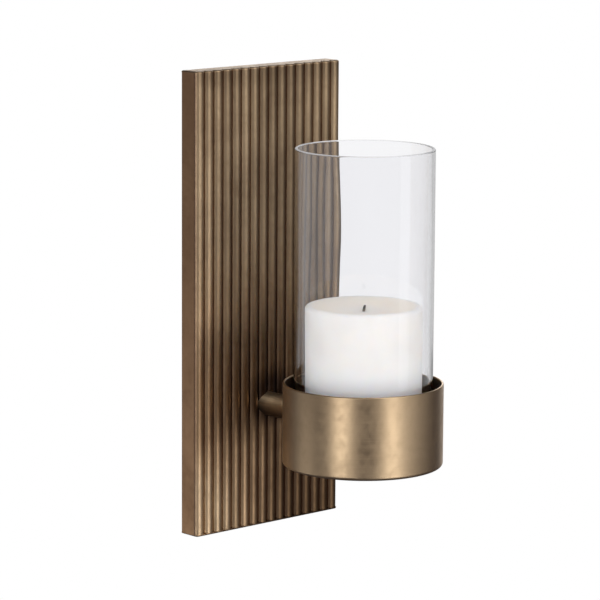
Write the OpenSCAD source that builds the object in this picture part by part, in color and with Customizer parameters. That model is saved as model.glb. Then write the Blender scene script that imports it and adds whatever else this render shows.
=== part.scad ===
// Wall sconce for one pillar candle: a ribbed brass plate that hangs on two wall screws,
// a short round arm, a cup on the arm, and a glass cylinder that stands in the cup.
// Origin: centre of the plate's rear plane, on the wall. +Z is up and the ribs face -Y.

/* [Wall plate] */
// Width of the plate
plate_w = 127; // [120:1:140]
// Height of the plate
plate_h = 307; // [300:1:340]
// Depth of the plain sides, from the wall to the grooves between the ribs
side_depth = 12.6; // [12:0.1:16]
// Number of vertical ribs across the front
rib_count = 16; // [12:1:16]
// How far the ribs stand out from the grooves
rib_rise = 2.9; // [2:0.1:3.2]
// Thickness of the plate's sheet metal
sheet_t = 1.2; // [1:0.1:1.4]

/* [Hanging straps] */
// Height of each keyhole's round entry above or below the plate's middle
keyhole_z = 120; // [105:1:125]
// Diameter of a keyhole's round entry, which a wall screw's head passes through
entry_d = 9.5; // [9:0.1:10.5]
// Width of a keyhole's slot, which holds the wall screw's shank
slot_w = 5; // [4.5:0.1:5.5]
// How far the plate drops once the screw heads are through
slot_run = 9; // [8:0.5:11]
// Height of a strap
strap_h = 32; // [30:1:36]
// Thickness of a strap
strap_t = 1.5; // [1.2:0.1:2]

/* [Arm] */
// Diameter of the round bar
arm_d = 16; // [15:0.5:17]
// Depth of the arm's axis below the cup's rim
arm_drop = 28; // [26:0.5:30]
// Height of the crossbar that carries the arm
crossbar_h = 44; // [36:1:48]
// Thickness of the crossbar
crossbar_t = 3; // [2.5:0.5:3.5]
// Diameter of the screws at both ends of the arm
screw_d = 6; // [5:0.5:6]

/* [Cup] */
// Distance from the wall to the cup's axis
cup_reach = 106; // [104:1:115]
// Outer diameter of the cup
cup_d = 104; // [103:0.5:105]
// Height of the cup
cup_h = 54; // [50:1:60]
// Height of the cup's rim from the plate's middle, negative as it is below
rim_z = -44; // [-50:1:-40]
// Thickness of the cup's wall
cup_wall = 1.5; // [1.2:0.1:1.8]
// Thickness of the cup's floor
floor_t = 2; // [1.6:0.1:2.4]
// Radius of the cup's outer bottom edge
cup_edge_r = 2.5; // [2:0.1:3]

/* [Glass] */
// Outer diameter of the glass cylinder
glass_d = 90; // [88:0.5:90]
// Height of the glass cylinder
glass_h = 203; // [180:1:230]
// Thickness of the glass
glass_wall = 2; // [1.8:0.1:2.2]

/* [Candle] */
// Diameter of the candle
candle_d = 76; // [70:1:76]
// Height of the candle
candle_h = 101; // [76:1:110]
// Depth of the hollow in the candle's top
dish_depth = 4; // [2:0.5:6]
// Diameter of the wick
wick_d = 2; // [1.6:0.1:2.4]
// Length of wick above the bottom of the hollow
wick_rise = 4; // [3:0.5:8]

/* [Hidden] */
$fn = 96;

brass = "#8c7050";
brass_bright = "#a98a63";
steel = "#9a9a98";
wax = "#f4f1ea";
char = "#3a3029";

through = 1;        // how far a cut runs past the face it opens
thread_gap = 0.03;  // radial gap round a screw's thread or a pin

// Plate
rib_pitch = plate_w / rib_count;
rib_r = (pow(rib_pitch / 2, 2) + pow(rib_rise, 2)) / (2 * rib_rise);
plate_t = side_depth + rib_rise;
panel_back = side_depth - sheet_t;
inner_h = plate_h - 2 * sheet_t;
inner_w = plate_w - 2 * sheet_t;
strap_lift = 4;     // the strap's middle is this far above its round entry

// Cup and what stands in it
cup_r = cup_d / 2;
cup_inner_r = cup_r - cup_wall;
cup_base_z = rim_z - cup_h;
floor_z = cup_base_z + floor_t;
glass_r = glass_d / 2;
glass_inner_r = glass_r - glass_wall;
disc_t = 1.5;
disc_gap = 0.6;     // between the disc's edge and the glass
gasket_t = 1;
glass_z = floor_z + gasket_t;
candle_z = floor_z + disc_t;

// Arm and its fasteners, all depths counted from the wall
arm_r = arm_d / 2;
arm_z = rim_z - arm_drop;
screw_r = screw_d / 2;
screw_hole_r = screw_r + 0.2;
thread_depth = 14;
thread_grip = 12;
crossbar_back = panel_back - crossbar_t;
lock_washer_t = 1.4;
arm_head_h = 3.6;
cup_face = cup_reach - cup_r;
washer_face = cup_face + cup_wall + 1.5;
washer_r = 7;
cup_head_h = 2.2;
pin_r = 1.25;
pin_offset = 5.5;
pin_length = 9;
socket_r = 2.3;
rivet_r = 2;
rivet_flare_r = 3.2;
rivet_flare_h = 0.8;
rivet_head_r = 4;
rivet_head_h = 1.2;

// Children stand along +Z; this lays them along -Y, starting at a depth from the wall
module from_wall(depth, z = arm_z, x = 0)
    translate([x, -depth, z])
        rotate([90, 0, 0])
            children();

module at_cup_axis(z)
    translate([0, -cup_reach, z])
        children();

// ---- plate ----

module each_rib()
    for (i = [0 : rib_count - 1])
        translate([(i + 0.5) * rib_pitch - plate_w / 2, rib_r - plate_t])
            children();

// The ribs seen from above: the part of each circle in front of the grooves
module rib_outlines()
    intersection() {
        each_rib() circle(r = rib_r);
        translate([-plate_w / 2, -plate_t - through])
            square([plate_w, rib_rise + through]);
    }

module fluted_panel()
    color(brass_bright)
        difference() {
            translate([0, 0, -inner_h / 2])
                linear_extrude(inner_h)
                    difference() {
                        union() {
                            translate([-plate_w / 2, -side_depth]) square([plate_w, sheet_t]);
                            rib_outlines();
                        }
                        each_rib() circle(r = rib_r - sheet_t);
                    }
            from_wall(0) cylinder(r = arm_r + thread_gap, h = plate_t + through);
        }

module side_strip()
    translate([0, -panel_back, -inner_h / 2])
        cube([sheet_t, panel_back, inner_h]);

module left_side()
    color(brass)
        translate([-plate_w / 2, 0, 0]) side_strip();

module right_side()
    color(brass)
        translate([plate_w / 2 - sheet_t, 0, 0]) side_strip();

// The top strip's front edge follows the ribs
module top_cap()
    color(brass)
        translate([0, 0, inner_h / 2])
            linear_extrude(sheet_t) {
                translate([-plate_w / 2, -side_depth]) square([plate_w, side_depth]);
                rib_outlines();
            }

// The bottom strip's front edge is straight, flush with the fronts of the ribs
module bottom_cap()
    color(brass)
        translate([-plate_w / 2, -plate_t, -plate_h / 2])
            cube([plate_w, plate_t, sheet_t]);

// A strap across the back with a keyhole: round entry below, slot above it
module hanging_strap(entry_z)
    difference() {
        translate([-inner_w / 2, -strap_t, entry_z + strap_lift - strap_h / 2])
            cube([inner_w, strap_t, strap_h]);
        from_wall(-through, entry_z) {
            cylinder(d = entry_d, h = strap_t + 2 * through);
            translate([0, slot_run, 0]) cylinder(d = slot_w, h = strap_t + 2 * through);
            translate([-slot_w / 2, 0, 0]) cube([slot_w, slot_run, strap_t + 2 * through]);
        }
    }

module upper_hanger()
    color(steel)
        hanging_strap(keyhole_z);

module lower_hanger()
    color(steel)
        hanging_strap(-keyhole_z);

// ---- arm ----

module arm_crossbar()
    color(steel)
        difference() {
            translate([-inner_w / 2, -panel_back, arm_z - crossbar_h / 2])
                cube([inner_w, crossbar_t, crossbar_h]);
            from_wall(0) cylinder(r = screw_hole_r, h = plate_t);
            from_wall(0, arm_z + pin_offset) cylinder(r = pin_r + thread_gap, h = plate_t);
        }

// A round bar, its far end shaped to the cup's wall, with a tapped hole in each end
module arm_rod()
    color(brass)
        difference() {
            from_wall(panel_back) cylinder(r = arm_r, h = cup_face - panel_back + cup_wall);
            at_cup_axis(cup_base_z) cylinder(r = cup_r, h = cup_h);
            from_wall(panel_back - through)
                cylinder(r = screw_r + thread_gap, h = thread_depth + through);
            from_wall(cup_face - thread_depth)
                cylinder(r = screw_r + thread_gap, h = thread_depth + cup_wall);
            from_wall(panel_back - through, arm_z + pin_offset)
                cylinder(r = pin_r + thread_gap, h = pin_length + through);
        }

// A socket-head screw along +Z with its head's top at the origin
module socket_screw(head_r, head_h, length)
    difference() {
        union() {
            cylinder(r = head_r, h = head_h);
            cylinder(r = screw_r, h = head_h + length);
        }
        translate([0, 0, -through]) cylinder(r = socket_r, h = through + head_h / 2, $fn = 6);
    }

module arm_screw()
    color(steel)
        from_wall(crossbar_back - lock_washer_t - arm_head_h)
            socket_screw(5.5, arm_head_h, lock_washer_t + crossbar_t + thread_grip);

// A split ring
module arm_lock_washer()
    color(steel)
        from_wall(crossbar_back - lock_washer_t)
            difference() {
                cylinder(r = 5.2, h = lock_washer_t);
                translate([0, 0, -through])
                    cylinder(r = screw_hole_r, h = lock_washer_t + 2 * through);
                translate([0, -0.5, -through]) cube([washer_r, 1, lock_washer_t + 2 * through]);
            }

module locating_pin()
    color(steel)
        from_wall(crossbar_back + 0.2, arm_z + pin_offset) cylinder(r = pin_r, h = pin_length);

module cup_screw()
    color(brass)
        from_wall(washer_face + cup_head_h)
            mirror([0, 0, 1])
                socket_screw(5.5, cup_head_h, washer_face - cup_face + thread_grip);

// One face fits the inside of the cup's wall and the other is flat under the screw's head.
// It is thin for its curve, so its circles are finer than the rest
module saddle_washer($fn = 480)
    color(brass)
        difference() {
            intersection() {
                from_wall(cup_face) cylinder(r = washer_r, h = washer_face - cup_face);
                at_cup_axis(cup_base_z) cylinder(r = cup_inner_r, h = cup_h);
            }
            from_wall(cup_face) cylinder(r = screw_hole_r, h = cup_reach - cup_face);
        }

// ---- cup ----

// A solid of revolution's half outline: a square block with its lower outer corner rounded
module rounded_half(r, h, edge_r) {
    square([r - edge_r, h]);
    translate([0, edge_r]) square([r, h - edge_r]);
    translate([r - edge_r, edge_r]) circle(r = edge_r);
}

// The same without the other three quarters of the corner's circle
module corner_rounded_half(r, h, edge_r)
    intersection() {
        rounded_half(r, h, edge_r);
        square([r, h]);
    }

module cup_half_outline()
    difference() {
        union() {
            corner_rounded_half(cup_r, cup_h - cup_wall / 2, cup_edge_r);
            translate([cup_r - cup_wall / 2, cup_h - cup_wall / 2]) circle(d = cup_wall);
        }
        translate([0, floor_t]) corner_rounded_half(cup_inner_r, cup_h, cup_edge_r - cup_wall);
    }

module candle_cup()
    color(brass_bright)
        difference() {
            at_cup_axis(cup_base_z) rotate_extrude() cup_half_outline();
            from_wall(cup_face - through) cylinder(r = screw_hole_r, h = cup_r / 2);
            at_cup_axis(cup_base_z - through)
                cylinder(r = rivet_r + thread_gap, h = floor_t + 2 * through);
        }

// Centres the glass, which stands round it, and carries the candle
module candle_plate()
    color(brass)
        at_cup_axis(floor_z)
            difference() {
                cylinder(r = glass_inner_r - disc_gap, h = disc_t);
                translate([0, 0, -through])
                    cylinder(r = rivet_r + thread_gap, h = disc_t + 2 * through);
                translate([0, 0, disc_t - rivet_flare_h])
                    cylinder(r1 = rivet_r + thread_gap, r2 = rivet_flare_r + thread_gap,
                             h = rivet_flare_h);
            }

// Low domed head under the cup, and an end flared flush with the disc
module plate_rivet()
    color(brass)
        at_cup_axis(cup_base_z) {
            intersection() {
                dome_r = (pow(rivet_head_r, 2) + pow(rivet_head_h, 2)) / (2 * rivet_head_h);
                translate([0, 0, dome_r - rivet_head_h]) sphere(r = dome_r);
                translate([0, 0, -2 * rivet_head_h]) cylinder(r = cup_r, h = 2 * rivet_head_h);
            }
            cylinder(r = rivet_r, h = floor_t + disc_t - rivet_flare_h);
            translate([0, 0, floor_t + disc_t - rivet_flare_h])
                cylinder(r1 = rivet_r, r2 = rivet_flare_r, h = rivet_flare_h);
        }

module glass_gasket()
    color("#c9c9c4")
        at_cup_axis(floor_z)
            difference() {
                cylinder(r = glass_r + 1, h = gasket_t);
                translate([0, 0, -through])
                    cylinder(r = glass_inner_r - disc_gap / 3, h = gasket_t + 2 * through);
            }

// ---- glass and candle ----

// Open at both ends, with a fully rounded lip and a ground foot
module glass_hurricane()
    color("#dfe8ee", 0.35)
        at_cup_axis(glass_z)
            rotate_extrude() {
                translate([glass_inner_r, 0]) square([glass_wall, glass_h - glass_wall / 2]);
                translate([glass_r - glass_wall / 2, glass_h - glass_wall / 2])
                    circle(d = glass_wall);
            }

module candle()
    color(wax)
        at_cup_axis(candle_z)
            difference() {
                dish_r = candle_d / 2 - 4;
                dish_sphere_r = (pow(dish_r, 2) + pow(dish_depth, 2)) / (2 * dish_depth);
                rotate_extrude()
                    translate([0, candle_h])
                        mirror([0, 1])
                            corner_rounded_half(candle_d / 2, candle_h, 1.5);
                translate([0, 0, candle_h + dish_sphere_r - dish_depth])
                    sphere(r = dish_sphere_r);
                translate([0, 0, -through])
                    cylinder(d = wick_d + 2 * thread_gap, h = candle_h + 2 * through);
            }

module wick()
    color(char)
        at_cup_axis(candle_z)
            cylinder(d = wick_d, h = candle_h - dish_depth + wick_rise);

fluted_panel();
left_side();
right_side();
top_cap();
bottom_cap();
arm_crossbar();
upper_hanger();
lower_hanger();
arm_rod();
arm_screw();
arm_lock_washer();
locating_pin();
candle_cup();
cup_screw();
saddle_washer();
candle_plate();
plate_rivet();
glass_gasket();
glass_hurricane();
candle();
wick();
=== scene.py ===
"""Looks for the wall sconce candle holder: brushed antique brass, clear glass, white wax.

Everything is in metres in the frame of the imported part: the wall is the plane y = 0, the
ribs face -Y and +Z is up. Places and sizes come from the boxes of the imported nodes.
"""

import math

import bmesh
import bpy
from mathutils import Matrix, Vector


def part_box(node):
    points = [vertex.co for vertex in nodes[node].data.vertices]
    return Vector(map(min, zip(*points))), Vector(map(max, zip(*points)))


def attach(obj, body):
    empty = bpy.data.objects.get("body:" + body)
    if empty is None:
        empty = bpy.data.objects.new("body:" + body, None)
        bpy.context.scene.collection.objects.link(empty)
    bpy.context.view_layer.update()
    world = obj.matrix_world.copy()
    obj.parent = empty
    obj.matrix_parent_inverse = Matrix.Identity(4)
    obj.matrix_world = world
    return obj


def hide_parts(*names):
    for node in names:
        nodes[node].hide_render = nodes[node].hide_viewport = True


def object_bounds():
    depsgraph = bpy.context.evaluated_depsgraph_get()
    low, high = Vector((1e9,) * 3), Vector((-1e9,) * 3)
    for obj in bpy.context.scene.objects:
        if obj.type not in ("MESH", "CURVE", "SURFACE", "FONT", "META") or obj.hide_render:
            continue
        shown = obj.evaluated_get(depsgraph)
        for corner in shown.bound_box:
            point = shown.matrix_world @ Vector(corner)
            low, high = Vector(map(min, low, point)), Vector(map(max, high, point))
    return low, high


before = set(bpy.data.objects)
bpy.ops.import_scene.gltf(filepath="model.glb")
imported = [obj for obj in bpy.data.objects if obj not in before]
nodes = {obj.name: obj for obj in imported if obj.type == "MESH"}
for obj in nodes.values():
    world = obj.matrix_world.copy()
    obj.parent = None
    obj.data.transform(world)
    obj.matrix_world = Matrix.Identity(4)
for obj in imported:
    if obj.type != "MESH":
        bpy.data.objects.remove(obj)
CAD_LOW, CAD_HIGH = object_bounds()

MM = 0.001

# ---- driving values of the shapes, in metres ----

SHEET = 1.2 * MM
RIB_COUNT = 16
RIB_RISE = 2.9 * MM
GROOVE_RADIUS = 0.15 * MM
SHOULDER_RADIUS = 2.5 * MM
END_EDGE_RADIUS = 1.1 * MM
SIDE_EDGE_RADIUS = 0.6 * MM
ARM_HOLE_SLACK = 0.03 * MM
DRILL_LENGTH = 20 * MM

CUP_WALL = 1.5 * MM
CUP_FLOOR = 2.0 * MM
CUP_EDGE_RADIUS = 2.5 * MM
SCREW_HOLE_RADIUS = 3.2 * MM
RIVET_HOLE_RADIUS = 2.03 * MM

GLASS_WALL = 2.0 * MM
GLASS_FOOT_RADIUS = 0.4 * MM
CANDLE_FOOT_RADIUS = 1.0 * MM
CANDLE_EDGE_RADIUS = 2.4 * MM
DISH_DEPTH = 4.0 * MM
DISH_RIM = 4.0 * MM
DISH_GAP = 0.4 * MM
WICK_HOLE_SLACK = 0.03 * MM
WICK_LEAN = 0.7 * MM
WICK_LEAN_AZIMUTH = 47.413
WICK_TAPER = 0.35
WICK_TWIST = 1400
STRAND_DEPTH = 0.14

# uneven walls, as sums of waves: share, waves round, radians per metre along, start
GLASS_WAVE_HEIGHT = 0.035 * MM
GLASS_WAVES = ((1.0, 3, 21, 0.6), (0.6, 7, -38, 2.1), (0.45, 12, 55, 4.0))
GLASS_OUTSIDE_SHARE = 0.3
CANDLE_WAVE_HEIGHT = 0.12 * MM
CANDLE_WAVES = ((1.0, 2, 0, 0.7), (0.5, 5, 9, 0.0))
CANDLE_INSET = 0.14 * MM

# ---- fineness of the meshes ----

RIB_STEPS = 16
GROOVE_STEPS = 6
CORNER_STEPS = 8
EDGE_STEPS = 6
PANEL_LEVELS = 24
SIDE_LEVELS = 12
DRILL_SIDES = 96
BEND_STEPS = 12
INNER_BEND_STEPS = 8
LIP_STEPS = 16
FOOT_STEPS = 4
CANDLE_FOOT_STEPS = 6
DISH_STEPS = 24
CUP_SEGMENTS = 256
GLASS_SEGMENTS = 288
CANDLE_SEGMENTS = 256
WICK_SECTIONS = 200
WICK_SIDES = 24
LONGEST_STEP = 4 * MM
CANDLE_LONGEST_STEP = 3 * MM
DOUBLED_WITHIN = 1e-7

# faces that meet at more than these angles, in degrees, keep a crisp edge
SHARP = 32
SHARP_GLASS = 50
SHARP_WAX = 60
SHARP_WICK = 70

# ---- camera and light ----

CAMERA_AZIMUTH = -42.587
CAMERA_ELEVATION = 9.716
CAMERA_ROLL = 0.345
CAMERA_DISTANCE = 2.1364
CAMERA_LEFT_OF_MIDDLE = 0.0228
CAMERA_ABOVE_MIDDLE = 0.0060
CAMERA_LENS = 197.63
CAMERA_CLIP = (0.05, 100)

FLOOR_BELOW_MIDDLE = 0.60
FLOOR_HALF_SIZE = 30.0

# soft boxes that light all but the glass
# name: azimuth and elevation in degrees, distance, width and height in metres, watts
SOFTBOXES = {
    "softbox_left": (-72, 3, 1.5, 0.45, 1.4, 7.3),
    "softbox_front": (-2, 3, 1.5, 0.42, 1.4, 4.8),
    "softbox_front_right": (28, 3, 1.5, 0.5, 1.4, 1.3),
    "softbox_right": (50, 3, 1.5, 0.4, 1.4, 0.4),
    "softbox_rear_right": (115, 3, 1.5, 0.9, 1.4, 2.5),
    "softbox_rear_left": (-132, 3, 1.5, 1.1, 1.4, 0.85),
    "softbox_low_front": (0, -30, 0.8, 0.4, 0.3, 0.7),
    "softbox_low_rear": (-130, -30, 0.8, 0.3, 0.3, 0.25),
    "softbox_high_front": (0, 42, 1.0, 0.8, 0.5, 3.0),
    "softbox_back": (137, 12, 1.5, 0.8, 0.8, 4.0),
}
# soft boxes that light one piece alone: the same numbers
ARM_KICKER = (-108, 44, 1.2, 0.35, 0.3, 7.0)
GLASS_GLINT = (25, 2, 1.5, 0.5, 1.4, 1.0)
WAX_FILLS = {
    "wax_right": (48, 4, 1.5, 0.8, 1.2, 0.85),
    "wax_left": (-125, 4, 1.5, 0.8, 1.2, 0.9),
    "wax_high": (-30, 40, 1.2, 0.8, 0.5, 0.25),
}
# the white room's strength as a light, mirrored by the glass, and on matt pieces
ROOM_LIGHT = 0.04
FLOOR_LIGHT = 0.05
ROOM_IN_GLASS = 0.6
ROOM_ON_MATT = 1.0
ROOM_TINT = (1.0, 0.90, 1.12)
LAST_BOUNCE = 12


def direction(azimuth, elevation):
    """Unit vector from the object towards a place round it. Azimuth 0 is in front."""
    a, e = math.radians(azimuth), math.radians(elevation)
    return Vector((math.sin(a) * math.cos(e), -math.cos(a) * math.cos(e), math.sin(e)))


# ---- meshes ----


def arc(centre, radius, start, end, steps):
    """Points from one angle to another, in degrees, on a circle in a plane."""
    turns = [math.radians(start + (end - start) * i / steps) for i in range(steps + 1)]
    return [(centre[0] + radius * math.cos(t), centre[1] + radius * math.sin(t)) for t in turns]


def divided(outline, longest):
    """The closed outline with its long straight stretches divided."""
    points = []
    for (ax, ay), (bx, by) in zip(outline, outline[1:] + outline[:1]):
        pieces = max(1, math.ceil(math.hypot(bx - ax, by - ay) / longest))
        for i in range(pieces):
            t = i / pieces
            points.append((ax + (bx - ax) * t, ay + (by - ay) * t))
    return points


def make_piece(name, verts, faces, node, body, slot, sharp=SHARP):
    """A smooth-shaded mesh object that stands for a CAD node and rides on its body."""
    mesh = bpy.data.meshes.new(name)
    mesh.from_pydata(verts, [], faces)
    mesh.validate()
    piece = bpy.data.objects.new(name, mesh)
    bpy.context.scene.collection.objects.link(piece)
    fix_normals(piece)
    shade(piece, sharp)
    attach(piece, body)
    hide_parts(node)
    return piece


def fix_normals(piece):
    """Joins doubled corners and turns every face outwards."""
    work = bmesh.new()
    work.from_mesh(piece.data)
    bmesh.ops.remove_doubles(work, verts=work.verts, dist=DOUBLED_WITHIN)
    bmesh.ops.recalc_face_normals(work, faces=work.faces)
    work.to_mesh(piece.data)
    work.free()


def shade(piece, sharp):
    """Smooth shading, with a crisp edge where faces meet at more than sharp degrees."""
    piece.data.shade_smooth()
    piece.data.set_sharp_from_angle(angle=math.radians(sharp))
    weighted = piece.modifiers.new("face_weights", "WEIGHTED_NORMAL")
    weighted.keep_sharp = True


def lathe(outline, axis, segments, nudge=None):
    """Vertices and faces of a closed (radius, height) outline turned about a vertical axis."""
    count = len(outline)
    verts, faces = [], []
    for i in range(segments):
        turn = math.tau * i / segments
        for r, z in outline:
            dr = nudge(r, turn, z) if nudge else 0.0
            verts.append((axis[0] + (r + dr) * math.cos(turn),
                          axis[1] + (r + dr) * math.sin(turn), z))
        following = (i + 1) % segments
        for j in range(count):
            k = (j + 1) % count
            faces.append((i * count + j, following * count + j,
                          following * count + k, i * count + k))
    return verts, faces


def loft(rings):
    """Vertices and faces through closed rings of equal length. Each ring is a line and then
    another one back, so that its ends close with a strip of quads."""
    count = len(rings[0])
    verts = [p for ring in rings for p in ring]
    faces = []
    for i in range(len(rings) - 1):
        for j in range(count):
            k = (j + 1) % count
            faces.append((i * count + j, i * count + k, (i + 1) * count + k, (i + 1) * count + j))
    for start in (0, (len(rings) - 1) * count):
        for j in range(count // 2 - 1):
            faces.append((start + j, start + j + 1,
                          start + count - 2 - j, start + count - 1 - j))
    return verts, faces


def drill(piece, middle, radius):
    """Cuts a round hole through a piece, along Y."""
    mesh = bpy.data.meshes.new("cutter")
    ring = arc((0, 0), radius, 0, 360, DRILL_SIDES)[:-1]
    count = len(ring)
    verts = [(x, y, z) for y in (-DRILL_LENGTH / 2, DRILL_LENGTH / 2) for x, z in ring]
    faces = [(i, (i + 1) % count, count + (i + 1) % count, count + i) for i in range(count)]
    faces += [tuple(reversed(range(count))), tuple(range(count, 2 * count))]
    mesh.from_pydata([tuple(Vector(v) + Vector(middle)) for v in verts], [], faces)
    cutter = bpy.data.objects.new("cutter", mesh)
    bpy.context.scene.collection.objects.link(cutter)
    fix_normals(cutter)
    cut = piece.modifiers.new("cut", "BOOLEAN")
    cut.operation = "DIFFERENCE"
    cut.solver = "EXACT"
    cut.object = cutter
    piece.modifiers.remove(piece.modifiers["face_weights"])
    bpy.context.view_layer.update()
    graph = bpy.context.evaluated_depsgraph_get()
    result = bpy.data.meshes.new_from_object(piece.evaluated_get(graph), depsgraph=graph)
    piece.modifiers.remove(cut)
    piece.data = result
    bpy.data.objects.remove(cutter)
    shade(piece, SHARP)


# ---- the ribbed plate ----

PANEL_LOW, PANEL_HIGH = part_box("fluted_panel")
PITCH = (PANEL_HIGH.x - PANEL_LOW.x) / RIB_COUNT
RIB_RADIUS = ((PITCH / 2) ** 2 + RIB_RISE**2) / (2 * RIB_RISE)
RIB_CENTRE_Y = PANEL_LOW.y + RIB_RADIUS
RIB_FOOT_Y = PANEL_LOW.y + RIB_RISE
ARM_LOW, ARM_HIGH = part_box("arm_rod")
ARM_Z = (ARM_LOW.z + ARM_HIGH.z) / 2
ARM_RADIUS = (ARM_HIGH.z - ARM_LOW.z) / 2


def rib_arc(x, y, radius, start, end, steps):
    """An arc seen from above, its angle counted from -Y towards +X, in radians."""
    turns = [start + (end - start) * i / steps for i in range(steps + 1)]
    return [(x + radius * math.sin(t), y - radius * math.cos(t)) for t in turns]


def ribbed_line(inset):
    """The plate's front from left to right, seen from above, moved inwards by inset: ribs,
    narrow rounded grooves between them, and a round shoulder at each side."""
    radius = RIB_RADIUS - inset
    groove = GROOVE_RADIUS + inset
    shoulder = SHOULDER_RADIUS - inset
    meet = math.asin(PITCH / 2 / (RIB_RADIUS + GROOVE_RADIUS))
    groove_y = RIB_CENTRE_Y - (RIB_RADIUS + GROOVE_RADIUS) * math.cos(meet)
    first_x = PANEL_LOW.x + PITCH / 2
    shoulder_x = PANEL_LOW.x + SHOULDER_RADIUS
    reach = RIB_RADIUS - SHOULDER_RADIUS
    ahead = math.sqrt(reach**2 - (first_x - shoulder_x) ** 2)
    shoulder_y = RIB_CENTRE_Y - ahead
    blend = math.atan2(shoulder_x - first_x, ahead)

    line = rib_arc(shoulder_x, shoulder_y, shoulder, -math.pi / 2, blend, GROOVE_STEPS)
    for i in range(RIB_COUNT):
        x = first_x + i * PITCH
        start = blend if i == 0 else -meet
        end = -blend if i == RIB_COUNT - 1 else meet
        line += rib_arc(x, RIB_CENTRE_Y, radius, start, end, RIB_STEPS)[1:]
        if i < RIB_COUNT - 1:
            hollow = rib_arc(x + PITCH / 2, groove_y, -groove, meet, -meet, GROOVE_STEPS)
            line += hollow[1:]
    last = rib_arc(-shoulder_x, shoulder_y, shoulder, -blend, math.pi / 2, GROOVE_STEPS)
    return line + last[1:]


def make_panel():
    """The ribbed front and its folded sides as one sheet, with the hole for the arm."""
    side_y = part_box("left_side")[0].y
    left, right = PANEL_LOW.x, PANEL_HIGH.x
    outer = [(left, side_y), *ribbed_line(0), (right, side_y)]
    inner = [(left + SHEET, side_y), *ribbed_line(SHEET), (right - SHEET, side_y)]
    section = outer + inner[::-1]
    height = PANEL_HIGH.z - PANEL_LOW.z
    rings = [[(x, y, PANEL_LOW.z + height * i / PANEL_LEVELS) for x, y in section]
             for i in range(PANEL_LEVELS + 1)]
    panel = make_piece("ribbed_front", *loft(rings), "fluted_panel", "sconce", "antique_brass")
    drill(panel, (0, PANEL_LOW.y, ARM_Z), ARM_RADIUS + ARM_HOLE_SLACK)
    return panel


def straight_line(inset):
    """The bottom strip's front edge: straight, with round corners, moved inwards by inset."""
    radius = SHOULDER_RADIUS - inset
    corner_x, corner_y = PANEL_LOW.x + SHOULDER_RADIUS, PANEL_LOW.y + SHOULDER_RADIUS
    line = rib_arc(corner_x, corner_y, radius, -math.pi / 2, 0, CORNER_STEPS)
    runs = 2 * RIB_COUNT
    line += [(corner_x - 2 * corner_x * i / runs, corner_y - radius) for i in range(1, runs)]
    line += rib_arc(-corner_x, corner_y, radius, 0, math.pi / 2, CORNER_STEPS)
    return line


def edge_turns():
    """Angles, in radians, that round an edge by a quarter turn."""
    return [math.radians(90 * i / EDGE_STEPS) for i in range(EDGE_STEPS + 1)]


def make_end(name, node, upward, front_line):
    """An end strip whose outer edge is rounded all the way round."""
    low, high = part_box(node)
    inner_z, outer_z = (low.z, high.z) if upward else (high.z, low.z)
    sign = 1 if upward else -1
    r = END_EDGE_RADIUS
    steps = [(0.0, inner_z)]
    steps += [(r * (1 - math.cos(turn)), outer_z - sign * r * (1 - math.sin(turn)))
              for turn in edge_turns()]
    rings = []
    for inset, z in steps:
        front = front_line(inset)
        back = [(x, high.y - inset) for x, y in front]
        rings.append([(x, y, z) for x, y in front + back[::-1]])
    return make_piece(name, *loft(rings), node, "sconce", "antique_brass")


def make_side(name, node, left):
    """A plain side strip, its edge on the wall rounded."""
    low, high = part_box(node)
    outer, inner = (low.x, high.x) if left else (high.x, low.x)
    inwards = 1 if left else -1
    r = SIDE_EDGE_RADIUS
    corner = [(outer + inwards * r * (1 - math.cos(turn)), high.y - r * (1 - math.sin(turn)))
              for turn in edge_turns()]
    outside = [(outer, low.y), (outer, (low.y + high.y) / 2), *corner]
    section = outside + [(inner, y) for _, y in outside[::-1]]
    height = high.z - low.z
    rings = [[(x, y, low.z + height * i / SIDE_LEVELS) for x, y in section]
             for i in range(SIDE_LEVELS + 1)]
    return make_piece(name, *loft(rings), node, "sconce", "antique_brass")


# ---- cup, glass and candle ----


def axis_of(node):
    """Where a round node's vertical axis stands."""
    low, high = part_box(node)
    return ((low.x + high.x) / 2, (low.y + high.y) / 2)


def waves(table, turn, z):
    """A sum of slow waves round a piece and along it."""
    return sum(share * math.sin(count * turn + climb * z + start)
               for share, count, climb, start in table)


def make_cup():
    """The spun cup: flat floor, bent edge, rolled lip, and holes for its rivet and screw."""
    low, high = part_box("candle_cup")
    radius = (high.x - low.x) / 2
    inner = radius - CUP_WALL
    lip = CUP_WALL / 2
    bend, inner_bend = CUP_EDGE_RADIUS, CUP_EDGE_RADIUS - CUP_WALL
    floor = low.z + CUP_FLOOR
    outline = [(RIVET_HOLE_RADIUS, low.z)]
    outline += arc((radius - bend, low.z + bend), bend, -90, 0, BEND_STEPS)
    outline += arc((radius - lip, high.z - lip), lip, 0, 180, LIP_STEPS)
    outline += arc((inner - inner_bend, floor + inner_bend), inner_bend, 0, -90, INNER_BEND_STEPS)
    outline += [(RIVET_HOLE_RADIUS, floor)]
    outline = divided(outline, LONGEST_STEP)
    axis = axis_of("candle_cup")
    cup = make_piece("spun_cup", *lathe(outline, axis, CUP_SEGMENTS),
                     "candle_cup", "sconce", "antique_brass")
    drill(cup, (0, axis[1] + radius, ARM_Z), SCREW_HOLE_RADIUS)
    return cup


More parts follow.
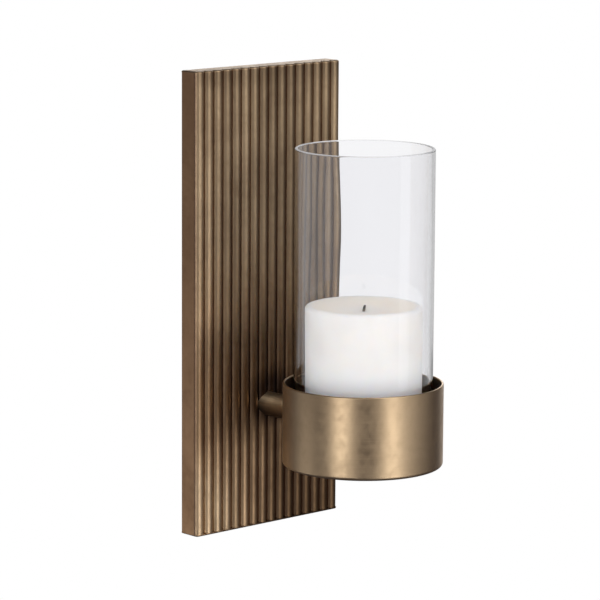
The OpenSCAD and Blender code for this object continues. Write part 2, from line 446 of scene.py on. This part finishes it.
def make_glass():
    """The glass tube: round lip, eased foot, and an uneven inside as blown glass has."""
    low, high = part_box("glass_hurricane")
    radius = (high.x - low.x) / 2
    inner = radius - GLASS_WALL
    lip = GLASS_WALL / 2
    foot = GLASS_FOOT_RADIUS
    outline = arc((inner + foot, low.z + foot), foot, 180, 270, FOOT_STEPS)
    outline += arc((radius - foot, low.z + foot), foot, 270, 360, FOOT_STEPS)
    outline += arc((radius - lip, high.z - lip), lip, 0, 180, LIP_STEPS)
    outline = divided(outline, LONGEST_STEP)

    def nudge(r, turn, z):
        wave = GLASS_WAVE_HEIGHT * waves(GLASS_WAVES, turn, z)
        return wave if r < radius - lip else -abs(wave) * GLASS_OUTSIDE_SHARE

    axis = axis_of("glass_hurricane")
    return make_piece("blown_glass", *lathe(outline, axis, GLASS_SEGMENTS, nudge),
                      "glass_hurricane", "glass", "clear_glass", sharp=SHARP_GLASS)


def make_candle():
    """The pillar: soft edge, dished top with a bore for the wick, slightly uneven side."""
    low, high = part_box("candle")
    radius = (high.x - low.x) / 2
    wick_low, wick_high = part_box("wick")
    bore = (wick_high.x - wick_low.x) / 2 + WICK_HOLE_SLACK
    foot, edge = CANDLE_FOOT_RADIUS, CANDLE_EDGE_RADIUS
    dish = radius - DISH_RIM
    sphere = (dish**2 + DISH_DEPTH**2) / (2 * DISH_DEPTH)
    outline = [(bore, low.z)]
    outline += arc((radius - foot, low.z + foot), foot, -90, 0, CANDLE_FOOT_STEPS)
    outline += arc((radius - edge, high.z - edge), edge, 0, 80, BEND_STEPS)
    start = dish - DISH_GAP
    for i in range(DISH_STEPS + 1):
        r = start - (start - bore) * i / DISH_STEPS
        depth = math.sqrt(sphere**2 - r**2) - (sphere - DISH_DEPTH)
        outline.append((r, high.z - depth))
    outline = divided(outline, CANDLE_LONGEST_STEP)

    def nudge(r, turn, z):
        wave = CANDLE_WAVE_HEIGHT * waves(CANDLE_WAVES, turn, z)
        return (wave - CANDLE_INSET) * r / radius

    return make_piece("pillar_candle", *lathe(outline, axis_of("candle"), CANDLE_SEGMENTS, nudge),
                      "candle", "candle", "wax", sharp=SHARP_WAX)


def make_wick():
    """Three twisted strands; the burnt end leans, thins and frays."""
    low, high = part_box("wick")
    x0, y0 = axis_of("wick")
    radius = (high.x - low.x) / 2
    candle_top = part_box("candle")[1].z - DISH_DEPTH
    side = direction(WICK_LEAN_AZIMUTH, 0)
    rings = []
    for i in range(WICK_SECTIONS + 1):
        z = low.z + (high.z - low.z) * i / WICK_SECTIONS
        out = max(0.0, (z - candle_top) / (high.z - candle_top))
        lean = WICK_LEAN * out**1.6
        taper = 1 - WICK_TAPER * out**3
        ring = []
        for j in range(WICK_SIDES):
            turn = math.tau * j / WICK_SIDES
            strand = abs(math.cos(1.5 * (turn - z * WICK_TWIST)))
            fray = 1 - 0.06 * out * math.sin(5 * turn + 40 * out)
            r = radius * (1 - STRAND_DEPTH * (1 - strand)) * taper * fray
            ring.append((x0 + side.x * lean + r * math.cos(turn),
                         y0 + side.y * lean + r * math.sin(turn), z))
        rings.append(ring)
    return make_piece("braided_wick", *loft(rings),
                      "wick", "candle", "cotton_wick", sharp=SHARP_WICK)


# ---- materials ----


class Finish:
    """A node material with one Principled shader and short ways to add patterns."""

    def __init__(self, name, **sockets):
        self.material = bpy.data.materials.new(name)
        self.material.use_nodes = True
        self.tree = self.material.node_tree
        self.tree.nodes.clear()
        self.out = self.node("ShaderNodeOutputMaterial")
        self.shader = self.node("ShaderNodeBsdfPrincipled")
        self.link(self.shader.outputs[0], self.out.inputs["Surface"])
        self.place = self.node("ShaderNodeTexCoord").outputs["Object"]
        for socket, value in sockets.items():
            self.shader.inputs[socket.replace("_", " ")].default_value = value

    def node(self, kind, **settings):
        """A new node of the material."""
        made = self.tree.nodes.new(kind)
        for key, value in settings.items():
            setattr(made, key, value)
        return made

    def link(self, a, b):
        self.tree.links.new(a, b)

    def feed(self, socket, value):
        """Links or sets an input, as value is a socket or a constant."""
        if isinstance(value, bpy.types.NodeSocket):
            self.link(value, socket)
        else:
            socket.default_value = value

    def stretched(self, x, y, z):
        """Object coordinates, each multiplied, as repeats per metre."""
        mapping = self.node("ShaderNodeMapping")
        mapping.inputs["Scale"].default_value = (x, y, z)
        self.link(self.place, mapping.inputs["Vector"])
        return mapping.outputs[0]

    def noise(self, vector, scale=1.0, detail=3.0, rough=0.55, distortion=0.0):
        """Noise that repeats about once for each unit of the vector, times scale."""
        made = self.node("ShaderNodeTexNoise")
        self.link(vector, made.inputs["Vector"])
        for socket, value in (("Scale", scale), ("Detail", detail), ("Roughness", rough),
                              ("Distortion", distortion)):
            made.inputs[socket].default_value = value
        return made.outputs["Fac"]

    def even_noise(self, repeats, **how):
        """Noise that repeats as often along each axis."""
        return self.noise(self.stretched(repeats, repeats, repeats), **how)

    def math(self, operation, a, b=0.0, c=0.0):
        made = self.node("ShaderNodeMath", operation=operation)
        for socket, value in zip(made.inputs, (a, b, c)):
            self.feed(socket, value)
        return made.outputs[0]

    def times(self, a, b):
        return self.math("MULTIPLY", a, b)

    def times_plus(self, a, b, c):
        return self.math("MULTIPLY_ADD", a, b, c)

    def minus(self, a, b):
        return self.math("SUBTRACT", a, b)

    def distance(self, a, b):
        return self.math("SQRT", self.times_plus(a, a, self.times(b, b)))

    def ramp(self, value, low, high, out_low=0.0, out_high=1.0):
        """Maps low..high smoothly to out_low..out_high, and holds the value beyond."""
        made = self.node("ShaderNodeMapRange", interpolation_type="SMOOTHSTEP")
        self.link(value, made.inputs["Value"])
        for socket, number in (("From Min", low), ("From Max", high),
                               ("To Min", out_low), ("To Max", out_high)):
            made.inputs[socket].default_value = number
        return made.outputs["Result"]

    def mix(self, share, a, b, blend="MIX", clamp=True):
        """Colour a with a share of b over it. Each is a socket or a colour."""
        made = self.node("ShaderNodeMix", data_type="RGBA", blend_type=blend)
        made.clamp_factor = clamp
        self.feed(made.inputs["Factor"], share)
        for socket, value in ((made.inputs[6], a), (made.inputs[7], b)):
            if isinstance(value, tuple):
                value = (*value, 1.0)
            self.feed(socket, value)
        return made.outputs[2]

    def mix_shaders(self, share, a, b):
        made = self.node("ShaderNodeMixShader")
        self.link(share, made.inputs["Fac"])
        self.link(a.outputs[0], made.inputs[1])
        self.link(b.outputs[0], made.inputs[2])
        return made

    def set(self, socket, value):
        """Links or sets one of the main shader's inputs."""
        self.feed(self.shader.inputs[socket], value)

    def coordinates(self):
        """Object coordinates as three sockets."""
        split = self.node("ShaderNodeSeparateXYZ")
        self.link(self.place, split.inputs[0])
        return split.outputs

    def height(self):
        return self.coordinates()[2]

    def away_from(self, axis):
        """Distance from a vertical axis, and height."""
        x, y, z = self.coordinates()
        return self.distance(self.minus(x, axis[0]), self.minus(y, axis[1])), z

    def bump(self, height, distance, strength, normal=None):
        """A normal for a relief of this depth, on top of another one if given."""
        made = self.node("ShaderNodeBump")
        made.inputs["Strength"].default_value = strength
        made.inputs["Distance"].default_value = distance
        self.link(height, made.inputs["Height"])
        if normal is not None:
            self.link(normal, made.inputs["Normal"])
        return made.outputs[0]


# where most of a noise's values lie
NOISE_SPAN = (0.3, 0.7)

BRASS = (0.625, 0.46, 0.285)
BRASS_PALE = (0.73, 0.555, 0.355)
BRASS_BROWN = (0.33, 0.22, 0.13)
GROOVE_BROWN = (0.16, 0.075, 0.045)
PAINTED_SHADE_BROWN = (0.20, 0.13, 0.09)
RIB_DARKEST = (0.06, 0.03, 0.0)
RIB_FULL = (1.0, 1.0, 1.0)
REDDER = (1.06, 0.96, 0.90)
TOP_EDGE_TINT = (1.0, 0.84, 0.76)
ARM_PAINTED_SHADOW = (0.04, 0.025, 0.02)
ARM_UNDERSIDE_SHADE = (0.12, 0.075, 0.06)
CUP_INSIDE_SHADE = (0.13, 0.08, 0.055)

# repeats of the brush lines per metre along x, y and z, then roughness and patina
PLATE_FINISH = ((4200, 4200, 16), 0.46, 0.5)
CUP_FINISH = ((20, 20, 4200), 0.41, 0.33)
ARM_FINISH = ((2400, 60, 2400), 0.37, 0.7)
HIDDEN_FINISH = ((700, 700, 700), 0.42, 0.7)
CLOUDS_PER_METRE = 26
SPECKS_PER_METRE = 210

# the plate's painted light and shade: heights from none to full, and how much paler or darker it
# makes a rib; then its redder tint and slow drift along the ribs
LOW_LEFT_HEIGHTS = (-85 * MM, -140 * MM)
LOW_LEFT_RIBS = (7, 0)
LOW_LEFT_PAINTED_LIGHT = 0.7
LOW_RIGHT_HEIGHTS = (-82 * MM, -105 * MM)
LOW_RIGHT_RIBS = (5, 11)
LOW_RIGHT_PAINTED_SHADE = -0.68
HIGH_HEIGHTS = (30 * MM, 125 * MM)
HIGH_END_HEIGHTS = (150 * MM, 136 * MM)
HIGH_PAINTED_LIGHT = 0.2
BEHIND_CUP_FROM = (-2 * MM, -28 * MM)
BEHIND_CUP_TO = (-110 * MM, -85 * MM)
BEHIND_CUP_PAINTED_SHADOW = -0.34
REDDER_HEIGHTS = (60 * MM, -60 * MM)
REDDER_LOW_LEFT = -1.4
DRIFT = 0.12
DRIFT_PER_METRE = 7.0

# the plate's darker places, painted shade and patina: painted shade on the rib flanks and over the
# first rib's shoulder, dark patina deepened with painted shade in the grooves, and a painted
# shadow round the arm; where from none to full, and how much of the brown they get.
# Flanks and grooves count from the middle of a rib in parts of a rib, the corner in ribs.
FLANK_PLACE = (0.22, 0.52)
FLANK_SHIFT = 0.1
FLANK_SHADE_SHARE = 0.35
GROOVE_PLACE = (0.40, 0.49)
GROOVE_SHARE = 0.8
CORNER_PLACE = (0.16, 0.06)
CORNER_SHADE_SHARE = 0.55
ARM_SHADOW_REACH = (25 * MM, 9 * MM)
ARM_SHADOW_RIGHT, ARM_SHADOW_ABOVE = 3 * MM, 5 * MM
ARM_SHADOW_SHARE = 0.82

BRUSH_RELIEF = (0.01 * MM, 0.25)
SWELL_RELIEF = (0.12 * MM, 0.03)
BRUSH_ROUGHNESS = 0.04
SPECK_ROUGHNESS = 0.035

ZINC_TONES = ((0.50, 0.51, 0.52), (0.62, 0.61, 0.57))
GLASS_TONES = ((0.945, 0.945, 0.96), (0.955, 0.955, 0.97))
GLASS_SHADE = (0.95, 0.95, 0.96)
GROUND_TONES = ((0.74, 0.74, 0.76), (0.88, 0.88, 0.90))
WAX_TONES = ((0.845, 0.82, 0.785), (0.885, 0.865, 0.825))
WAX_PAINTED_LIGHT_NEAR_CUP = (0.99, 0.96, 0.915)
WAX_DISH = (0.93, 0.84, 0.73)
WAX_SCORCHED = (0.45, 0.37, 0.28)
WAX_SCATTER = 22 * MM
DISH_REACH = (35.5 * MM, 33 * MM)
SCORCH_REACH = (3.4 * MM, 1.0 * MM)
COTTON_TONES = ((0.34, 0.27, 0.19), (0.62, 0.54, 0.42))
SOOT_TONES = ((0.020, 0.016, 0.013), (0.09, 0.07, 0.055))
SILICONE_TONES = ((0.66, 0.66, 0.63), (0.80, 0.80, 0.77))

# each rib's own tone, from left to right
RIB_TONES = (0.86, 0.80, 0.67, 0.65, 0.63, 0.71, 0.64, 0.57,
             0.51, 0.53, 0.55, 0.58, 0.64, 0.68, 0.63, 0.68)


def brass(name, brush, roughness, patina):
    """Brushed brass under a thin brown patina. brush is how often the brush lines repeat per
    metre along each axis: few along the stroke and many across it."""
    finish = Finish(name, Metallic=1.0)
    lines = finish.noise(finish.stretched(*brush), detail=4.0, rough=0.6)
    clouds = finish.even_noise(CLOUDS_PER_METRE, detail=4.0, distortion=0.6)
    specks = finish.even_noise(SPECKS_PER_METRE)
    speckled = finish.ramp(specks, 0.45, 0.8, 0, 0.35)
    aged = finish.math("ADD", finish.ramp(clouds, 0.35, 0.7), speckled)
    colour = finish.mix(finish.times(aged, patina), BRASS, BRASS_BROWN)
    colour = finish.mix(finish.ramp(lines, 0.35, 0.7, 0.0, 0.2), colour, BRASS_PALE)
    worn = finish.ramp(specks, *NOISE_SPAN, -SPECK_ROUGHNESS, SPECK_ROUGHNESS)
    brushed = finish.ramp(lines, *NOISE_SPAN,
                          roughness - BRUSH_ROUGHNESS, roughness + BRUSH_ROUGHNESS)
    finish.set("Roughness", finish.math("ADD", brushed, worn))
    swell = finish.bump(clouds, *SWELL_RELIEF)
    finish.set("Normal", finish.bump(lines, *BRUSH_RELIEF, swell))
    return finish, colour


def rib_tone(finish, across, z):
    """Each rib's own tone, from a ramp with one flat step for each rib, with a
    slow drift along it."""
    ramp = finish.node("ShaderNodeValToRGB")
    ramp.color_ramp.interpolation = "CONSTANT"
    stops = ramp.color_ramp.elements
    while len(stops) < RIB_COUNT:
        stops.new(0.5)
    for i, tone in enumerate(RIB_TONES):
        stops[i].position = i / RIB_COUNT
        stops[i].color = (tone, tone, tone, 1.0)
    finish.link(finish.math("DIVIDE", across, RIB_COUNT), ramp.inputs["Fac"])
    along = finish.node("ShaderNodeCombineXYZ")
    finish.link(finish.math("FLOOR", across), along.inputs[0])
    finish.link(finish.times(z, DRIFT_PER_METRE), along.inputs[2])
    noise = finish.noise(along.outputs[0], scale=1.7, detail=2.0)
    return finish.times(ramp.outputs[0], finish.ramp(noise, *NOISE_SPAN, 1 - DRIFT, 1 + DRIFT))


def plate_brass():
    """The plate's brass, brushed along the ribs, dark in the grooves from patina and painted
    shade.
    Each rib has its own tone, with painted light low on the left and near the top, painted
    shade on the rib flanks, low on the right and round the arm, and a painted shadow behind the
    cup."""
    finish, colour = brass("plate_brass", *PLATE_FINISH)
    x, y, z = finish.coordinates()
    across = finish.math("DIVIDE", finish.minus(x, PANEL_LOW.x), PITCH)
    offset = finish.minus(finish.math("FRACT", across), 0.5)

    forward = finish.ramp(y, RIB_FOOT_Y, RIB_FOOT_Y + 0.3 * MM, 1.0, 0.0)
    below_top = finish.ramp(z, PANEL_HIGH.z - 0.2 * MM, PANEL_HIGH.z + 0.6 * MM, 1.0, 0.0)
    front = finish.times(forward, below_top)
    # painted light low on the left and near the top, painted shade low on the right, and the cup
    # and candle's painted shadow behind the cup
    low_left = finish.times(finish.ramp(z, *LOW_LEFT_HEIGHTS), finish.ramp(across, *LOW_LEFT_RIBS))
    low_right = finish.times(finish.ramp(z, *LOW_RIGHT_HEIGHTS),
                             finish.ramp(across, *LOW_RIGHT_RIBS))
    high = finish.times(finish.ramp(z, *HIGH_HEIGHTS),
                        finish.ramp(z, *HIGH_END_HEIGHTS, -0.9, 1.0))
    behind_cup = finish.times(finish.ramp(z, *BEHIND_CUP_FROM), finish.ramp(z, *BEHIND_CUP_TO))
    painted_light_and_shade = finish.times_plus(high, HIGH_PAINTED_LIGHT, 1.0)
    painted_light_and_shade = finish.times_plus(behind_cup, BEHIND_CUP_PAINTED_SHADOW, painted_light_and_shade)
    painted_light_and_shade = finish.times_plus(low_left, LOW_LEFT_PAINTED_LIGHT, painted_light_and_shade)
    painted_light_and_shade = finish.times_plus(low_right, LOW_RIGHT_PAINTED_SHADE, painted_light_and_shade)

    tone_with_painted_light = finish.times(rib_tone(finish, across, z), painted_light_and_shade)
    rib_colour = finish.mix(tone_with_painted_light, RIB_DARKEST, RIB_FULL, clamp=False)
    redder = finish.times(finish.ramp(z, *REDDER_HEIGHTS),
                          finish.times_plus(low_left, REDDER_LOW_LEFT, 1.0))
    reddened = finish.mix(1.0, rib_colour, REDDER, "MULTIPLY")
    rib_colour = finish.mix(redder, rib_colour, reddened)
    edge_colour = finish.mix(below_top, RIB_FULL, TOP_EDGE_TINT)
    colour = finish.mix(1.0, colour, finish.mix(front, edge_colour, rib_colour), "MULTIPLY")

    # painted shade on the flanks of each rib, more on the left flank
    off_crest = finish.math("ABSOLUTE", finish.minus(offset, FLANK_SHIFT))
    flank_shade = finish.times(finish.ramp(off_crest, *FLANK_PLACE), finish.ramp(across, 0.5, 1.0))
    flank_shade = finish.times(finish.times(flank_shade, front),
                         finish.times_plus(low_left, -FLANK_SHADE_SHARE, FLANK_SHADE_SHARE))
    colour = finish.mix(flank_shade, colour, PAINTED_SHADE_BROWN)
    # the grooves: dark patina in the hollows, deepened with painted shade
    off_middle = finish.math("ABSOLUTE", offset)
    groove = finish.times(finish.ramp(off_middle, *GROOVE_PLACE), front)
    colour = finish.mix(finish.times(groove, GROOVE_SHARE), colour, GROOVE_BROWN)
    # painted shadow round the arm's root, reaching up and right towards the cup
    from_arm = finish.distance(finish.minus(z, ARM_Z + ARM_SHADOW_ABOVE), finish.minus(x, ARM_SHADOW_RIGHT))
    arm_shadow = finish.times(finish.ramp(from_arm, *ARM_SHADOW_REACH), front)
    colour = finish.mix(finish.times(arm_shadow, ARM_SHADOW_SHARE), colour, ARM_PAINTED_SHADOW)
    # painted shade over the first rib's outer shoulder, where a highlight would be
    corner = finish.times(finish.ramp(across, *CORNER_PLACE), front)
    colour = finish.mix(finish.times(corner, CORNER_SHADE_SHARE), colour, PAINTED_SHADE_BROWN)
    finish.set("Base Color", colour)
    return finish.material


def cup_brass():
    """The cup's brass, brushed round it, with painted shade on the inside."""
    finish, colour = brass("cup_brass", *CUP_FINISH)
    away, z = finish.away_from(axis_of("candle_cup"))
    low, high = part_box("candle_cup")
    wall = (high.x - low.x) / 2 - CUP_WALL
    # painted shade on the cup's inside
    inside = finish.times(finish.ramp(away, wall + 0.7 * MM, wall + 0.2 * MM),
                          finish.ramp(z, high.z - 0.3 * MM, high.z - 1.2 * MM))
    colour = finish.mix(finish.times(inside, 0.85), colour, CUP_INSIDE_SHADE)
    finish.set("Base Color", colour)
    return finish.material


def arm_brass():
    """The arm's brass, brushed round it, with painted shade underneath."""
    finish, colour = brass("arm_brass", *ARM_FINISH)
    # painted shade on the arm's underside
    under = finish.ramp(finish.height(), ARM_Z + 1.5 * MM, ARM_LOW.z + 3 * MM)
    colour = finish.mix(finish.times(under, 0.7), colour, ARM_UNDERSIDE_SHADE)
    finish.set("Base Color", colour)
    return finish.material


def hidden_brass():
    """Brass for the small parts inside the cup, not brushed any one way."""
    finish, colour = brass("hidden_brass", *HIDDEN_FINISH)
    finish.set("Base Color", colour)
    return finish.material


def zinc():
    """Zinc plate with faint spangles."""
    finish = Finish("zinc_plate", Metallic=1.0)
    spangle = finish.even_noise(120, detail=4.0, distortion=0.8)
    grain = finish.even_noise(1500, detail=2.0)
    finish.set("Base Color", finish.mix(finish.ramp(spangle, *NOISE_SPAN), *ZINC_TONES))
    finish.set("Roughness", finish.ramp(spangle, *NOISE_SPAN, 0.34, 0.5))
    finish.set("Normal", finish.bump(grain, 0.03 * MM, 0.4))
    return finish.material


def glass():
    """Clear glass, faintly tinted, that lets light through to the candle, with a ground rim."""
    finish = Finish("clear_glass", Transmission_Weight=1.0, IOR=1.5, Roughness=0.0)
    smear = finish.noise(finish.stretched(30, 30, 9))
    finish.set("Base Color", finish.mix(finish.ramp(smear, *NOISE_SPAN), *GLASS_TONES))
    clear = finish.node("ShaderNodeBsdfTransparent")
    clear.inputs["Color"].default_value = (*GLASS_SHADE, 1.0)
    path = finish.node("ShaderNodeLightPath")
    body = finish.mix_shaders(path.outputs["Is Shadow Ray"], finish.shader, clear)
    ground = finish.node("ShaderNodeBsdfDiffuse")
    grain = finish.even_noise(900, detail=2.0)
    finish.link(finish.mix(grain, *GROUND_TONES), ground.inputs["Color"])
    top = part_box("glass_hurricane")[1].z
    rim = finish.ramp(finish.height(), top - 0.8 * MM, top - 0.4 * MM, 0.0, 0.55)
    rimmed = finish.mix_shaders(rim, body, ground)
    finish.link(rimmed.outputs[0], finish.out.inputs["Surface"])
    return finish.material


def wax():
    """White wax: painted paler close to the cup as painted light, creamy in the dish and scorched
    round the wick.
    """
    finish = Finish("candle_wax", Subsurface_Weight=0.8, Roughness=0.45, IOR=1.44)
    finish.shader.inputs["Subsurface Radius"].default_value = (1.0, 0.85, 0.7)
    finish.shader.inputs["Subsurface Scale"].default_value = WAX_SCATTER
    bloom = finish.even_noise(60, detail=4.0)
    grain = finish.even_noise(700)
    away, z = finish.away_from(axis_of("candle"))
    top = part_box("candle")[1].z
    cup_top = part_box("candle_cup")[1].z
    on_top = finish.ramp(z, top - 5 * MM, top - 2 * MM)
    dish = finish.times(finish.ramp(away, *DISH_REACH), on_top)
    scorch = finish.times(finish.ramp(away, *SCORCH_REACH), on_top)
    colour = finish.mix(finish.ramp(bloom, *NOISE_SPAN), *WAX_TONES)
    # painted light on the wax just above the cup, where the cup shades it
    colour = finish.mix(finish.ramp(z, cup_top + 30 * MM, cup_top), colour, WAX_PAINTED_LIGHT_NEAR_CUP)
    colour = finish.mix(finish.times(dish, 0.75), colour, WAX_DISH)
    colour = finish.mix(finish.times(scorch, 0.35), colour, WAX_SCORCHED)
    finish.set("Base Color", colour)
    finish.set("Roughness", finish.ramp(bloom, *NOISE_SPAN, 0.4, 0.55))
    finish.set("Normal", finish.bump(grain, 0.02 * MM, 0.3, finish.bump(bloom, 0.2 * MM, 0.2)))
    return finish.material


def wick_fibre():
    """Cotton strands, burnt black towards the tip."""
    finish = Finish("burnt_cotton", Roughness=0.9)
    fibre = finish.noise(finish.stretched(3000, 3000, 900))
    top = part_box("wick")[1].z
    burnt = finish.ramp(finish.height(), top - 5 * MM, top - 1.5 * MM, 0.5, 1.0)
    clean = finish.mix(fibre, *COTTON_TONES)
    soot = finish.mix(fibre, *SOOT_TONES)
    finish.set("Base Color", finish.mix(burnt, clean, soot))
    finish.set("Normal", finish.bump(fibre, 0.08 * MM, 0.7))
    return finish.material


def silicone():
    """Soft, slightly dusty silicone."""
    finish = Finish("soft_silicone", Roughness=0.5, Subsurface_Weight=0.3)
    finish.shader.inputs["Subsurface Scale"].default_value = 1 * MM
    dust = finish.even_noise(400)
    finish.set("Base Color", finish.mix(dust, *SILICONE_TONES))
    finish.set("Roughness", finish.ramp(dust, *NOISE_SPAN, 0.42, 0.62))
    finish.set("Normal", finish.bump(dust, 0.03 * MM, 0.4))
    return finish.material


def coat(piece, material):
    """Gives a piece or a CAD node one material."""
    piece.data.materials.clear()
    piece.data.materials.append(material)


# ---- the stage ----


class StageLight:
    """Light Path sockets and sums for the stage's own shaders."""

    def __init__(self, tree):
        self.tree = tree
        self.path = tree.nodes.new("ShaderNodeLightPath").outputs

    def math(self, operation, a, b):
        made = self.tree.nodes.new("ShaderNodeMath")
        made.operation = operation
        for socket, value in zip(made.inputs, (a, b)):
            if isinstance(value, bpy.types.NodeSocket):
                self.tree.links.new(value, socket)
            else:
                socket.default_value = value
        return made.outputs[0]

    def from_glass(self):
        """1 for a ray that clear glass sent on, that has met nothing matt so far and still
        has bounces left."""
        early = self.math("LESS_THAN", self.path["Ray Depth"], LAST_BOUNCE - 0.5)
        undiffused = self.math("LESS_THAN", self.path["Diffuse Depth"], 0.5)
        sharp = self.math("MULTIPLY", self.path["Is Singular Ray"], early)
        return self.math("MULTIPLY", sharp, undiffused)


def pale_emission(kind, tree, reflected):
    """A shader that is plain white to look at, straight or through the glass, paler in the
    glass's own reflections, white as a light for matt pieces, and much dimmer and tinted as
    a light for the metal."""
    stage = StageLight(tree)
    path = stage.path
    bounces = stage.math("ADD", path["Diffuse Depth"], path["Glossy Depth"])
    unbounced = stage.math("LESS_THAN", bounces, 0.5)
    through = stage.math("MULTIPLY", path["Is Transmission Ray"], unbounced)
    seen = stage.math("MAXIMUM", path["Is Camera Ray"], through)
    glint = stage.math("MULTIPLY", stage.from_glass(), ROOM_IN_GLASS)
    matt = stage.math("GREATER_THAN", path["Diffuse Depth"], 0.5)
    soft = stage.math("MULTIPLY", matt, ROOM_ON_MATT)
    bright = stage.math("MAXIMUM", stage.math("MAXIMUM", seen, glint), soft)
    tint = tree.nodes.new("ShaderNodeMix")
    tint.data_type = "RGBA"
    tree.links.new(stage.math("GREATER_THAN", bright, reflected), tint.inputs["Factor"])
    tint.inputs[6].default_value = (*ROOM_TINT, 1.0)
    tint.inputs[7].default_value = (1.0, 1.0, 1.0, 1.0)
    made = tree.nodes.new(kind)
    tree.links.new(tint.outputs[2], made.inputs["Color"])
    tree.links.new(stage.math("MAXIMUM", bright, reflected), made.inputs["Strength"])
    return made


def make_floor(middle):
    """A large pale floor below the object, clear when seen from underneath."""
    mesh = bpy.data.meshes.new("floor")
    size, z = FLOOR_HALF_SIZE, middle.z - FLOOR_BELOW_MIDDLE
    mesh.from_pydata([(-size, -size, z), (size, -size, z), (size, size, z), (-size, size, z)],
                     [], [(0, 1, 2, 3)])
    floor = bpy.data.objects.new("floor", mesh)
    bpy.context.scene.collection.objects.link(floor)
    material = bpy.data.materials.new("pale_floor")
    material.use_nodes = True
    tree = material.node_tree
    tree.nodes.clear()
    shine = pale_emission("ShaderNodeEmission", tree, FLOOR_LIGHT)
    below = tree.nodes.new("ShaderNodeBsdfTransparent")
    side = tree.nodes.new("ShaderNodeNewGeometry")
    both = tree.nodes.new("ShaderNodeMixShader")
    out = tree.nodes.new("ShaderNodeOutputMaterial")
    tree.links.new(side.outputs["Backfacing"], both.inputs["Fac"])
    tree.links.new(shine.outputs[0], both.inputs[1])
    tree.links.new(below.outputs[0], both.inputs[2])
    tree.links.new(both.outputs[0], out.inputs["Surface"])
    floor.data.materials.append(material)


def make_room():
    """The white room, as the world's background."""
    world = bpy.data.worlds.new("white_room")
    bpy.context.scene.world = world
    world.use_nodes = True
    tree = world.node_tree
    tree.nodes.clear()
    shine = pale_emission("ShaderNodeBackground", tree, ROOM_LIGHT)
    out = tree.nodes.new("ShaderNodeOutputWorld")
    tree.links.new(shine.outputs[0], out.inputs["Surface"])


def linked_light(name, piece, state):
    """A light-linking group that holds one piece, to include or exclude."""
    group = bpy.data.collections.new(name)
    group.objects.link(piece)
    group.collection_objects[0].light_linking.link_state = state
    return group


def make_softbox(name, middle, placing, receivers):
    """A rectangular lamp that faces the object and lights the receivers alone."""
    azimuth, elevation, distance, width, height, watts = placing
    light = bpy.data.lights.new(name, "AREA")
    light.shape = "RECTANGLE"
    light.size, light.size_y = width, height
    light.energy = watts
    lamp = bpy.data.objects.new(name, light)
    bpy.context.scene.collection.objects.link(lamp)
    lamp.location = middle + direction(azimuth, elevation) * distance
    lamp.rotation_euler = (middle - lamp.location).to_track_quat("-Z", "Y").to_euler()
    lamp.light_linking.receiver_collection = receivers
    return lamp


def make_softboxes(middle, tube, pillar, arm):
    """Soft boxes all round, which leave the glass out so that they don't show in it as bright
    bands. A few more light the glass, the wax or the arm alone, and of those that light the
    wax or the arm nothing but the piece itself stands in the way."""
    all_but_glass = linked_light("all_but_glass", tube, "EXCLUDE")
    for name, placing in SOFTBOXES.items():
        make_softbox(name, middle, placing, all_but_glass)
    glass_only = linked_light("glass_only", tube, "INCLUDE")
    make_softbox("glass_glint", middle, GLASS_GLINT, glass_only)
    wax_only = linked_light("wax_only", pillar, "INCLUDE")
    for name, placing in WAX_FILLS.items():
        fill = make_softbox(name, middle, placing, wax_only)
        fill.light_linking.blocker_collection = wax_only
    arm_only = linked_light("arm_only", arm, "INCLUDE")
    kicker = make_softbox("arm_kicker", middle, ARM_KICKER, arm_only)
    kicker.light_linking.blocker_collection = arm_only


def make_camera(middle):
    """The photo's camera, fitted to the object's edges in it."""
    back = direction(CAMERA_AZIMUTH, CAMERA_ELEVATION)
    right = Vector((0, 0, 1)).cross(back).normalized()
    up = back.cross(right)
    data = bpy.data.cameras.new("camera")
    data.lens = CAMERA_LENS
    data.clip_start, data.clip_end = CAMERA_CLIP
    camera = bpy.data.objects.new("camera", data)
    bpy.context.scene.collection.objects.link(camera)
    camera.location = (middle + back * CAMERA_DISTANCE - right * CAMERA_LEFT_OF_MIDDLE
                       + up * CAMERA_ABOVE_MIDDLE)
    turn = (-back).to_track_quat("-Z", "Y").to_matrix().to_4x4()
    roll = Matrix.Rotation(math.radians(CAMERA_ROLL), 4, "Z")
    camera.rotation_euler = (turn @ roll).to_euler()
    bpy.context.scene.camera = camera


# ---- the scene ----

middle = (CAD_LOW + CAD_HIGH) / 2
make_camera(middle)
make_room()
make_floor(middle)
bpy.context.scene.view_settings.view_transform = "Standard"

plate_finish = plate_brass()
coat(make_panel(), plate_finish)
coat(make_end("top_strip", "top_cap", True, ribbed_line), plate_finish)
coat(make_end("bottom_strip", "bottom_cap", False, straight_line), plate_finish)
coat(make_side("left_strip", "left_side", True), plate_finish)
coat(make_side("right_strip", "right_side", False), plate_finish)
coat(make_cup(), cup_brass())
tube = make_glass()
coat(tube, glass())
pillar = make_candle()
coat(pillar, wax())
coat(make_wick(), wick_fibre())
make_softboxes(middle, tube, pillar, nodes["arm_rod"])

coat(nodes["arm_rod"], arm_brass())
hidden_finish, zinc_finish = hidden_brass(), zinc()
for node in ("cup_screw", "saddle_washer", "candle_plate", "plate_rivet"):
    coat(nodes[node], hidden_finish)
for node in ("arm_crossbar", "upper_hanger", "lower_hanger", "arm_screw", "arm_lock_washer",
             "locating_pin"):
    coat(nodes[node], zinc_finish)
coat(nodes["glass_gasket"], silicone())
